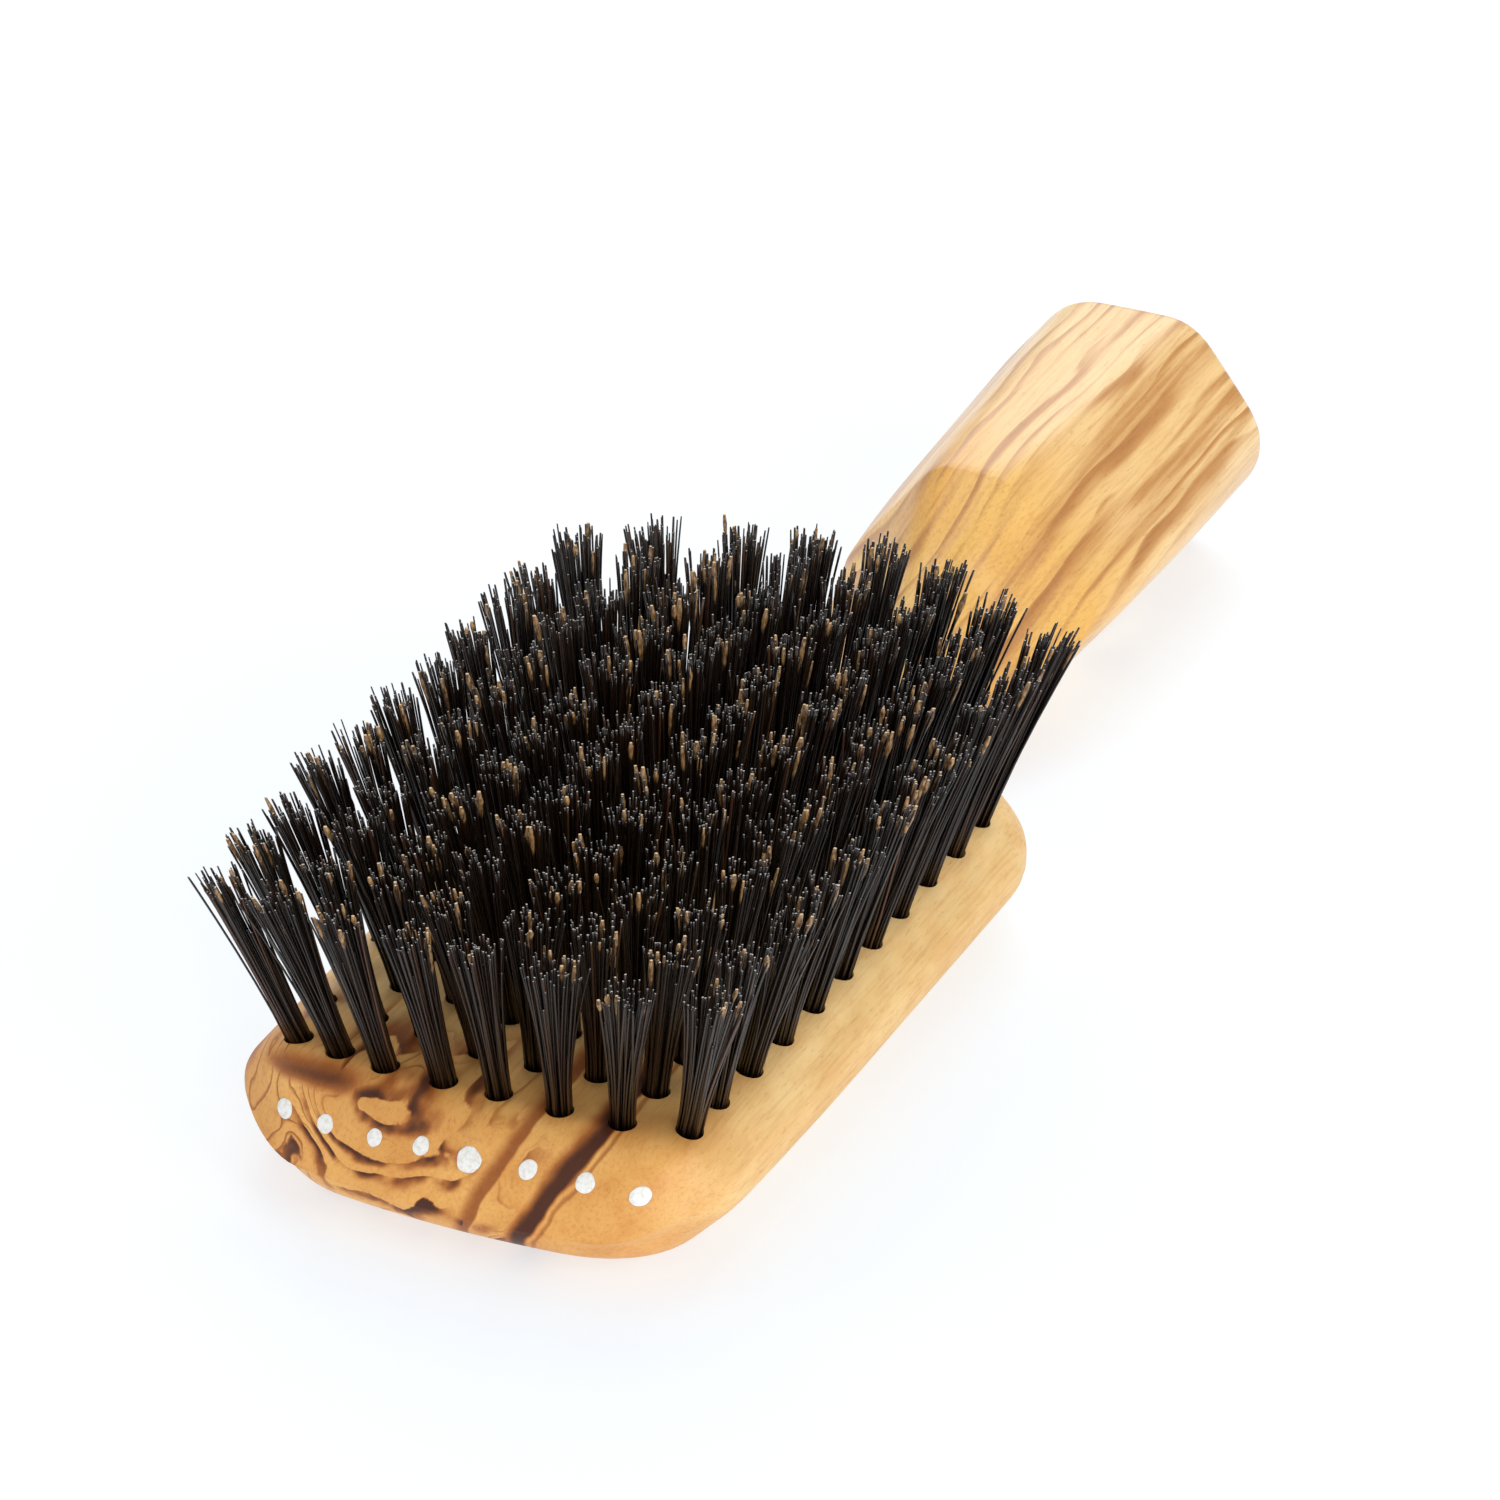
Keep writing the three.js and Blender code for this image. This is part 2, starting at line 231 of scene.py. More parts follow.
def envelope(along):
    """Half-width, top and underside at a distance from the front, with both ends rounded."""
    half_width = curve(PLAN, 1, along)
    bottom = curve(PLAN, 2, along)
    top = min(HANDLE_TOP, curve(RAMP, 1, along))
    if along < FRONT_CORNER_RADIUS:
        left = FRONT_CORNER_RADIUS - along
        half_width -= FRONT_CORNER_RADIUS - math.sqrt(FRONT_CORNER_RADIUS**2 - left**2)
    if along < NOSE_LENGTH:
        left = 1 - along / NOSE_LENGTH
        over = (1 - left**2) ** NOSE_FULLNESS
        top = NOSE_LEVEL + (FACE_HEIGHT - NOSE_LEVEL) * over
    if along < UNDERCUT_LENGTH:
        left = 1 - along / UNDERCUT_LENGTH
        bottom = NOSE_LEVEL * (1 - math.sqrt(1 - left**2))
    left = along - (LENGTH - HANDLE_END_ROUNDING)
    if left > 0:
        inset = HANDLE_END_ROUNDING - math.sqrt(HANDLE_END_ROUNDING**2 - left**2 * HANDLE_END_ARC)
        half_width -= inset
        top -= inset
        bottom += inset * HANDLE_END_LIFT
    return half_width, top, bottom


def half_section(along):
    """Points of the section's right half, from the middle of the top to the middle of the underside."""
    half_width, top, bottom = envelope(along)
    height = top - bottom

    def cut(column, limit):
        return min(curve(CORNERS, column, along), limit)

    drop, rise = curve(CORNERS, 2, along), curve(CORNERS, 4, along)
    fit = min(1, height * SIDE_LIMIT / (drop + rise))
    corners = [
        Vector((0, top)),
        Vector((half_width - cut(1, half_width * CUT_LIMIT), top)),
        Vector((half_width, top - drop * fit)),
        Vector((half_width, bottom + rise * fit)),
        Vector((half_width - cut(3, half_width * CUT_LIMIT), bottom)),
        Vector((0, bottom)),
    ]
    rounding = [0, cut(5, 1), cut(6, 1), cut(6, 1), cut(7, 1), 0]

    def towards(i, other):
        edge = corners[other] - corners[i]
        share = min(0.5, EDGE_LIMIT / max(edge.length, 1e-6)) * rounding[i]
        return corners[i] + edge * share

    points = []
    last = corners[0]
    for i in range(1, 5):
        before, after = towards(i, i - 1), towards(i, i + 1)
        points += [last.lerp(before, step / EDGE_STEPS) for step in range(EDGE_STEPS)]
        for step in range(CORNER_STEPS):
            t = step / CORNER_STEPS
            points.append(before.lerp(corners[i], t).lerp(corners[i].lerp(after, t), t))
        last = after
    points += [last.lerp(corners[5], step / EDGE_STEPS) for step in range(EDGE_STEPS + 1)]
    return points


def bow(along, across, height):
    """How far a point is moved along the brush by the bowed front end and the domed handle end."""
    front = max(0.0, 1 - along / BOW_REACH)
    outer = COLUMN_PITCH * (COLUMNS - 1) / 2
    rear = max(0.0, 1 - (LENGTH - along) / BOW_REACH)
    half_width, top, bottom = envelope(FULL_HANDLE)
    rise = (2 * height - top - bottom) / (top - bottom)
    bulge = HANDLE_END_BULGE * (across / half_width) ** 2 + HANDLE_END_TILT * rise**2
    return NOSE_BOW * (across / outer) ** 2 * front**2 - bulge * rear**3


def to_y(along):
    return wood_low.y + along


def column_offset(column):
    return column - (COLUMNS - 1) / 2


def channel_point(column, along):
    share = along / CHANNEL_REAR
    pitch = CHANNEL_MOUTH_PITCH + (CHANNEL_REAR_PITCH - CHANNEL_MOUTH_PITCH) * share
    return Vector((column_offset(column) * pitch, to_y(along), FACE_HEIGHT - CHANNEL_DEPTH))


def plug_point(column, along):
    across, up = PLUG_SHIFTS[column]
    return channel_point(column, along) + Vector((across, 0, up))


def pitch_at(along):
    share = min(1.0, max(0.0, (along - FIRST_TUFT) / (FULL_PITCH_AT - FIRST_TUFT)))
    return FRONT_PITCH + (COLUMN_PITCH - FRONT_PITCH) * share * (2 - share)


def tufts_of(column):
    """Each tuft's place on the face, its lean above it and the slope of its hole below it."""
    offset = column_offset(column)
    share = (offset / ((COLUMNS - 1) / 2)) ** 2
    first = FIRST_TUFT + FIRST_ROW_BOW * share
    last = LAST_TUFT - LAST_ROW_BOW * share
    count = TUFTS_IN_COLUMN[column]
    rng = np.random.default_rng(TUFT_SEED + column)
    tufts = []
    for i in range(count):
        along = first + (last - first) * i / (count - 1)
        across = offset * pitch_at(along)
        drift_x, drift_y, lean_x, lean_y = rng.normal(0, DRIFT_SPREAD)
        if i == 0:
            drift_x, drift_y, lean_x, lean_y = FRONT_DRIFT[column]
        tufts.append(
            {
                "x": across + drift_x,
                "y": to_y(along) + drift_y,
                "slope_x": math.tan(math.radians(LEAN_ACROSS * across + lean_x)),
                "slope_y": math.tan(math.radians(LEAN_ALONG * (along - FAN_CENTRE) + lean_y)),
                "hole_slope_x": (across - channel_point(column, along).x) / CHANNEL_DEPTH,
            }
        )
    return tufts


# ---- Meshes ----


def new_object(name, mesh, materials):
    for material in materials:
        mesh.materials.append(material)
    made = bpy.data.objects.new(name, mesh)
    bpy.context.scene.collection.objects.link(made)
    return made


def mesh_from(bm, name):
    mesh = bpy.data.meshes.new(name)
    bm.to_mesh(mesh)
    bm.free()
    return mesh


def join_rings(bm, low, high):
    for i in range(len(low)):
        j = (i + 1) % len(low)
        bm.faces.new((low[i], low[j], high[j], high[i]))


END_RINGS = (0.93, 0.8, 0.6, 0.35, 0.12)  # rings on the handle's end face, as shares of its size


def body_stations():
    """Stations along the brush, closer together where the outline turns quickly."""
    nose = [NOSE_LENGTH * (i / 18) ** 1.7 for i in range(18)]
    undercut = list(np.arange(NOSE_LENGTH, UNDERCUT_LENGTH, 0.7))
    head = list(np.arange(UNDERCUT_LENGTH, SHOULDER_START, 4.0))
    shoulder = list(np.arange(SHOULDER_START, FACET_START - 0.3, 0.9))
    crease = [FACET_START - 0.25, FACET_START, FACET_START + 0.25]
    handle = list(np.arange(FACET_START + 1.5, LENGTH - HANDLE_END_ROUNDING - 0.5, 1.8))
    turns = np.linspace(0, math.pi / 2, 9)
    end = [LENGTH - HANDLE_END_ROUNDING * (1 - math.sin(turn)) for turn in turns]
    return nose + undercut + head + shoulder + crease + handle + end


def body_mesh():
    """The wooden body before drilling, in metres."""
    bm = bmesh.new()
    rings = []
    for along in body_stations():
        right = half_section(along)
        outline = right + [Vector((-p.x, p.y)) for p in right[-2:0:-1]]
        rings.append([(p.x, along, p.y) for p in outline])
    _, top, bottom = envelope(LENGTH)
    middle = (top + bottom) / 2
    end = rings[-1]
    for share in END_RINGS:
        rings.append([(x * share, along, middle + (z - middle) * share) for x, along, z in end])
    verts = [
        [bm.verts.new((x * MM, (to_y(along) + bow(along, x, z)) * MM, z * MM)) for x, along, z in ring]
        for ring in rings
    ]
    for low, high in zip(verts, verts[1:]):
        join_rings(bm, low, high)
    bm.faces.new(verts[-1])
    bmesh.ops.remove_doubles(bm, verts=bm.verts, dist=1e-6)
    bmesh.ops.recalc_face_normals(bm, faces=bm.faces)
    bmesh.ops.triangulate(bm, faces=bm.faces)
    return mesh_from(bm, "wood_blank")


def directions_across(axis):
    """Two directions square to an axis and to each other."""
    other = Vector((0, 0, 1)) if abs(axis.z) < 0.9 else Vector((1, 0, 0))
    side = axis.cross(other).normalized()
    return side, axis.cross(side)


def uneven(turn, wobble, phases):
    """The radius of a round outline made by hand, as a share of its mean, at an angle."""
    return 1 + wobble * sum(math.sin(k * turn + phase) / k for k, phase in zip((2, 3, 5), phases))


def add_rod(bm, start, end, radius, sides, wobble=0.0, phases=(), flat=1.0):
    """Adds a closed rod between two points given in mm. wobble and phases make its outline uneven,
    and flat is its height as a share of its width."""
    side, third = directions_across((end - start).normalized())
    rim = []
    for i in range(sides):
        turn = 2 * math.pi * i / sides
        reach = radius * uneven(turn, wobble, phases)
        rim.append((side * math.cos(turn) + third * flat * math.sin(turn)) * reach)
    first, last = ([bm.verts.new((centre + out) * MM) for out in rim] for centre in (start, end))
    bm.faces.new(first)
    bm.faces.new(last[::-1])
    join_rings(bm, last, first)


def plug_shape(column):
    """Radius, unevenness and its phases, which a plug shares with its channel's mouth."""
    phases = np.random.default_rng(PLUG_SEED + column).uniform(0, 2 * math.pi, 3)
    return PLUG_RADII[column], PLUG_UNEVENNESS[column], phases


ON_SURFACE = 2e-6  # metres; a corner nearer than this to the blank lies on it
SAME_WAY = 0.8  # cosine between a face of the drilled body and the blank's under it


def carry_normals(drilled, blank):
    """Gives the outer faces of the drilled body the smooth normals of the blank."""
    places = [vert.co.copy() for vert in blank.vertices]
    smooth = [vert.normal.copy() for vert in blank.vertices]
    faces = [tuple(face.vertices) for face in blank.polygons]
    tree = BVHTree.FromPolygons(places, faces)
    normals = []
    for face in drilled.polygons:
        for index in face.vertices:
            place = drilled.vertices[index].co
            hit, across, nearest, distance = tree.find_nearest(place)
            if distance > ON_SURFACE or across.dot(face.normal) < SAME_WAY:
                normals.append(face.normal.copy())
                continue
            corners = faces[nearest]
            weights = poly_3d_calc([places[corner] for corner in corners], hit)
            mixed = sum((smooth[c] * w for c, w in zip(corners, weights)), Vector())
            normals.append(mixed.normalized())
    drilled.polygons.foreach_set("use_smooth", [True] * len(drilled.polygons))
    drilled.normals_split_custom_set(normals)


HOLE_SIDES = 20
PLUG_SIDES = 28
HOLE_DEPTH = 4.6
DRILL_ABOVE_FACE = 1.5
DRILL_PAST_NOSE = 5.0
DRILL_PAST_PLUG = 0.2


def drill(blank):
    """Cuts every tuft's hole and every channel's mouth out of the body."""
    bm = bmesh.new()
    for column in range(COLUMNS):
        for tuft in tufts_of(column):
            place = Vector((tuft["x"], tuft["y"], FACE_HEIGHT))
            slope = Vector((tuft["hole_slope_x"], tuft["slope_y"], 1))
            deep, above = place - slope * HOLE_DEPTH, place + slope * DRILL_ABOVE_FACE
            add_rod(bm, deep, above, HOLE_RADIUS, HOLE_SIDES)
        radius, wobble, phases = plug_shape(column)
        start = plug_point(column, -DRILL_PAST_NOSE)
        end = plug_point(column, PLUG_END + DRILL_PAST_PLUG)
        add_rod(bm, start, end, radius + PLUG_GAP, PLUG_SIDES, wobble, phases, PLUG_HEIGHT)
    bmesh.ops.recalc_face_normals(bm, faces=bm.faces)
    cutter = new_object("drills", mesh_from(bm, "drills"), [])
    body = new_object("body_before_drilling", blank, [])
    cut = body.modifiers.new("drill", "BOOLEAN")
    cut.operation = "DIFFERENCE"
    cut.solver = "EXACT"
    cut.object = cutter
    evaluated = body.evaluated_get(bpy.context.evaluated_depsgraph_get())
    drilled = bpy.data.meshes.new_from_object(evaluated)
    bpy.data.objects.remove(body)
    bpy.data.objects.remove(cutter)
    carry_normals(drilled, blank)
    return drilled


PLUG_RINGS = (0.0, 0.3, 0.55, 0.78, 0.93, 1.0)  # shares of a plug's radius
PLUG_CROWN = 0.06  # how far the middle of a plug stands out of the wood
RIM_DIP = 0.02  # how far its rim lies below the wood
PLUG_ROUGHNESS = 0.008
PLUG_FACE_SEED = 47


def plug_face(bm, column, surface, start, axis):
    """Rings of a plug's outer end, from its middle outwards, laid on the head's curved surface."""
    radius, wobble, phases = plug_shape(column)
    side, third = directions_across(axis)
    third *= PLUG_HEIGHT
    rng = np.random.default_rng(PLUG_FACE_SEED + column)
    rings = []
    for share in PLUG_RINGS:
        ring = []
        for i in range(PLUG_SIDES if share else 1):
            turn = 2 * math.pi * i / PLUG_SIDES
            reach = radius * share * uneven(turn, wobble, phases)
            place = start + (side * math.cos(turn) + third * math.sin(turn)) * reach
            hit, normal, _, _ = surface.ray_cast(place * MM, axis)
            proud = PLUG_CROWN * (1 - share**2) - RIM_DIP * share**6 + rng.normal(0, PLUG_ROUGHNESS)
            ring.append(bm.verts.new(hit + normal * proud * MM))
        rings.append(ring)
    return rings


def plug_mesh(column, surface):
    """A plug whose outer end lies in the head's curved surface, a hair proud in its middle."""
    start, end = plug_point(column, -DRILL_PAST_NOSE), plug_point(column, PLUG_END)
    axis = (end - start).normalized()
    bm = bmesh.new()
    (middle,), *rings = plug_face(bm, column, surface, start, axis)
    for i in range(PLUG_SIDES):
        bm.faces.new((middle, rings[0][i], rings[0][(i + 1) % PLUG_SIDES]))
    inner = []
    for vert in rings[-1]:
        depth = (end * MM - vert.co).dot(axis)
        inner.append(bm.verts.new(vert.co + axis * depth))
    for outer_ring, inner_ring in zip(rings, rings[1:] + [inner]):
        join_rings(bm, inner_ring, outer_ring)
    bm.faces.new(inner)
    bmesh.ops.recalc_face_normals(bm, faces=bm.faces)
    for face in bm.faces:
        face.smooth = len(face.verts) < 5
    return mesh_from(bm, f"plug_{column + 1}")


# ---- Hairs ----

HAIRS_IN_TUFT = 62
CLUMPS_IN_TUFT = 9
CLUMPING = 0.3  # how far a hair's tip is drawn to its clump
GOLDEN_ANGLE = 2.39996  # radians; turned by it each time, points fill a disc evenly
TUFT_RADIUS = 1.3
TIP_RADIUS = 3.15
TIP_RADIUS_RANGE = (0.9, 1.12)
CLUMP_REACH_RANGE = (0.8, 1.0)
SPLAY_CURVE = 1.6  # 1 would be straight hairs, and more bends them outwards nearer to their tips

# Random spreads: mm of a tuft's sway and a hair's tip, shares of length and reach, and radians.
TUFT_SWAY = 0.25
TUFT_TRIM = 0.012
CLUMP_TURN = 0.3
ROOT_TURN = 0.15
TIP_TURN = 0.22
TIP_REACH = 0.11
TIP_SPREAD = 0.2
HAIR_TRIM = 0.06

HAIR_SEED = 900
HAIR_SIDES = 5
HAIR_HEIGHTS = (-0.1, 0.16, 0.36, 0.56, 0.76)  # lower rings of a hair, as shares of its length
HAIR_RADII = (0.13, 0.165)
TAPERED_TIPS = (0.65, 0.9)  # a tapering hair's tip, as a share of its radius
SHORT_HAIRS = 0.1
SHORT_LENGTHS = (0.72, 0.92)
STRAY_HAIRS = 0.025
STRAY_REACH = 1.25
ROOTS_UP = 0.45
PALE_ROOTS = 0.17  # of the hairs that stand root end up
PALE_LENGTHS = (1.2, 4.2)
PALE_SWELLS = (1.4, 2.6)  # how much thicker than the hair a pale root is at its thickest


def on_disc(turn, reach):
    return np.array((math.cos(turn), math.sin(turn), 0.0)) * reach


def clump_centres(rng, tip_radius):
    """The points that the tips of one tuft draw together to."""
    centres = []
    for clump in range(CLUMPS_IN_TUFT):
        spread = math.sqrt((clump + 0.5) / CLUMPS_IN_TUFT)
        reach = spread * tip_radius * rng.uniform(*CLUMP_REACH_RANGE)
        # No two tufts have the same tip_radius, so this turns the clumps of each its own way.
        turn = clump * GOLDEN_ANGLE + tip_radius * 40 + rng.normal(0, CLUMP_TURN)
        centres.append(on_disc(turn, reach))
    return centres


def hair_course(rng, hair, tip_radius, sway, trim, clumps):
    """How far a hair's root and its tip are off the tuft's middle line, and its length."""
    spread = math.sqrt((hair + 0.5) / HAIRS_IN_TUFT)
    turn = hair * GOLDEN_ANGLE + rng.normal(0, ROOT_TURN)
    root = on_disc(turn, spread * TUFT_RADIUS)
    turn += rng.normal(0, TIP_TURN)
    reach = (spread + rng.normal(0, TIP_REACH)) * tip_radius
    length = BRISTLE_LENGTH * (1 + trim - abs(rng.normal(0, HAIR_TRIM)))
    kind = rng.random()
    if kind < SHORT_HAIRS:
        length *= rng.uniform(*SHORT_LENGTHS)
    elif kind > 1 - STRAY_HAIRS:
        reach *= STRAY_REACH
    tip = on_disc(turn, reach)
    nearest = min(clumps, key=lambda centre: np.hypot(*(centre - tip)[:2]))
    tip += (nearest - tip) * CLUMPING
    tip[:2] += sway + rng.normal(0, TIP_SPREAD, 2)
    return root, tip, length


def hair_outline(rng, length):
    """A hair's rings as share of its length, radius and paleness. Nearly half of the hairs stand
    root end up and keep their thickness, some with a pale swollen root, and the others taper."""
    root_up = rng.random() < ROOTS_UP
    pale_root = root_up and rng.random() < PALE_ROOTS
    radius = rng.uniform(*HAIR_RADII)
    tip = 1.0 if root_up else rng.uniform(*TAPERED_TIPS)
    pale_share = rng.uniform(*PALE_LENGTHS) / length
    swell = rng.uniform(*PALE_SWELLS) if pale_root else 1.0
    pale = 1.0 if pale_root else 0.0
    rings = [(share, 1 - (1 - tip) * max(0.0, share), 0.0) for share in HAIR_HEIGHTS]
    rings.append((1 - pale_share, 1 - (1 - tip) * 0.88, 0.0))
    rings.append((1 - pale_share * 0.72, tip * (0.5 + swell * 0.5), pale))
    rings.append((1 - pale_share * 0.36, tip * swell, pale))
    rings.append((1.0, tip * (0.45 + swell * 0.35), pale))
    return [(share, thickness * radius, paleness) for share, thickness, paleness in sorted(rings)]


class HairMesh:
    """Many hairs in one mesh, their sides in its first material and their cut ends in its second.
    Vertex colour: red is how pale the hair is there and blue a shade of its own for each hair."""

    def __init__(self):
        self.verts, self.colours, self.sides, self.caps = [], [], [], []

    def add(self, rings, phase, shade):
        """Adds a hair, from its rings' centres, radii and palenesses."""
        first = len(self.verts)
        for centre, radius, paleness in rings:
            for k in range(HAIR_SIDES):
                self.verts.append((centre + on_disc(phase + 2 * math.pi * k / HAIR_SIDES, radius)) * MM)
                self.colours.append((paleness, 0.0, shade, 1.0))
        for ring in range(len(rings) - 1):
            low = first + ring * HAIR_SIDES
            high = low + HAIR_SIDES
            for k in range(HAIR_SIDES):
                j = (k + 1) % HAIR_SIDES
                self.sides.append((low + k, low + j, high + j, high + k))
        top = first + (len(rings) - 1) * HAIR_SIDES
        self.caps.append(tuple(range(top, top + HAIR_SIDES)))
        self.caps.append(tuple(range(first + HAIR_SIDES - 1, first - 1, -1)))

    def mesh(self, name):
        made = bpy.data.meshes.new(name)
        made.from_pydata(self.verts, [], self.sides + self.caps)
        counts = len(self.sides), len(self.caps)
        made.polygons.foreach_set("use_smooth", [True] * counts[0] + [False] * counts[1])
        made.polygons.foreach_set("material_index", [0] * counts[0] + [1] * counts[1])
        tint = made.color_attributes.new("tint", "FLOAT_COLOR", "POINT")
        tint.data.foreach_set("color", np.array(self.colours, dtype=np.float32).ravel())
        made.update()
        return made


def hair_row_mesh(column):
    """All hairs of one column of tufts."""
    rng = np.random.default_rng(HAIR_SEED + column)
    hairs = HairMesh()
    for tuft in tufts_of(column):
        base = np.array((tuft["x"], tuft["y"], FACE_HEIGHT))
        slope = np.array((tuft["slope_x"], tuft["slope_y"], 1.0))
        tip_radius = TIP_RADIUS * rng.uniform(*TIP_RADIUS_RANGE)
        sway = rng.normal(0, TUFT_SWAY, 2)
        trim = rng.normal(0, TUFT_TRIM)
        clumps = clump_centres(rng, tip_radius)
        for hair in range(HAIRS_IN_TUFT):
            root, tip, length = hair_course(rng, hair, tip_radius, sway, trim, clumps)
            outline = hair_outline(rng, length)
            shade = rng.random()
            phase = rng.uniform(0, 2 * math.pi)
            rings = []
            for share, radius, paleness in outline:
                height = share * length
                splay = max(0.0, height / BRISTLE_LENGTH) ** SPLAY_CURVE
                centre = base + slope * height + root * (1 - splay) + tip * splay
                rings.append((centre, radius, paleness))
            hairs.add(rings, phase, shade)
    return hairs.mesh(f"hair_row_{column + 1}")


# ---- Materials ----


def srgb(red, green, blue):
    """A colour given as 0-255 screen values, for Blender's linear sockets."""
    out = []
    for value in (red, green, blue):
        v = value / 255
        out.append(v / 12.92 if v <= 0.04045 else ((v + 0.055) / 1.055) ** 2.4)
    return (*out, 1.0)


class Nodes:
    """Shorthand for building a material's node tree."""

    def __init__(self, name):
        self.material = bpy.data.materials.new(name)
        self.material.use_nodes = True
        self.tree = self.material.node_tree
        self.shader = self.tree.nodes["Principled BSDF"]

    def node(self, kind, **settings):
        made = self.tree.nodes.new(kind)
        for key, value in settings.items():
            setattr(made, key, value)
        return made

    def link(self, value, socket):
        if isinstance(value, bpy.types.NodeSocket):
            self.tree.links.new(value, socket)
        else:
            socket.default_value = value

    def math(self, operation, a, b=0.0, c=0.0, clamp=False):
        made = self.node("ShaderNodeMath", operation=operation, use_clamp=clamp)
        for value, socket in zip((a, b, c), made.inputs):
            self.link(value, socket)
        return made.outputs[0]

    def smooth(self, value, low, high):
        """0 below low, 1 above high, eased between; high may be under low."""
        made = self.node("ShaderNodeMapRange", interpolation_type="SMOOTHSTEP", clamp=True)
        self.link(value, made.inputs["Value"])
        if low <= high:
            made.inputs["From Min"].default_value = low
            made.inputs["From Max"].default_value = high
            return made.outputs[0]
        made.inputs["From Min"].default_value = high
        made.inputs["From Max"].default_value = low
        made.inputs["To Min"].default_value = 1.0
        made.inputs["To Max"].default_value = 0.0
        return made.outputs[0]

    def mix(self, factor, a, b, blend="MIX"):
        made = self.node("ShaderNodeMix", data_type="RGBA", blend_type=blend)
        self.link(factor, made.inputs[0])
        self.link(a, made.inputs[6])
        self.link(b, made.inputs[7])
        return made.outputs[2]

    def place(self, scale=(1, 1, 1), move=(0, 0, 0)):
        """The object's own coordinates in mm, scaled and moved."""
        if not hasattr(self, "coordinates"):
            self.coordinates = self.node("ShaderNodeTexCoord").outputs["Object"]
        made = self.node("ShaderNodeMapping")
        self.link(self.coordinates, made.inputs["Vector"])
        made.inputs["Scale"].default_value = [s / MM for s in scale]
        made.inputs["Location"].default_value = move
        return made.outputs[0]

    def noise(self, place, scale=1.0, detail=3.0, roughness=0.5, distortion=0.0):
        made = self.node("ShaderNodeTexNoise")
        self.link(place, made.inputs["Vector"])
        made.inputs["Scale"].default_value = scale
        made.inputs["Detail"].default_value = detail
        made.inputs["Roughness"].default_value = roughness
        made.inputs["Distortion"].default_value = distortion
        return made.outputs["Fac"]

    def ramp(self, value, *stops):
        made = self.node("ShaderNodeValToRGB")
        self.link(value, made.inputs[0])
        ramp = made.color_ramp
        while len(ramp.elements) < len(stops):
            ramp.elements.new(0.5)
        for element, (at, colour) in zip(ramp.elements, stops):
            element.position = at
            element.color = colour
        return made.outputs[0]

    def bump(self, height, strength, distance):
        made = self.node("ShaderNodeBump")
        self.link(height, made.inputs["Height"])
        made.inputs["Strength"].default_value = strength
        made.inputs["Distance"].default_value = distance * MM
        return made.outputs[0]

    def set(self, **sockets):
        for key, value in sockets.items():
            self.link(value, self.shader.inputs[key.replace("_", " ")])


# The dark bands that cross the front end aslant: where each of them starts, is full from and to,
# and ends, in mm from left to right, and how dark it is.
SLANTING_BANDS = (
    (11.6, 14.0, 14.5, 15.3, 1.0),
    (15.2, 15.7, 15.8, 16.2, 0.4),
    (5.0, 7.4, 7.8, 8.3, 0.55),
)


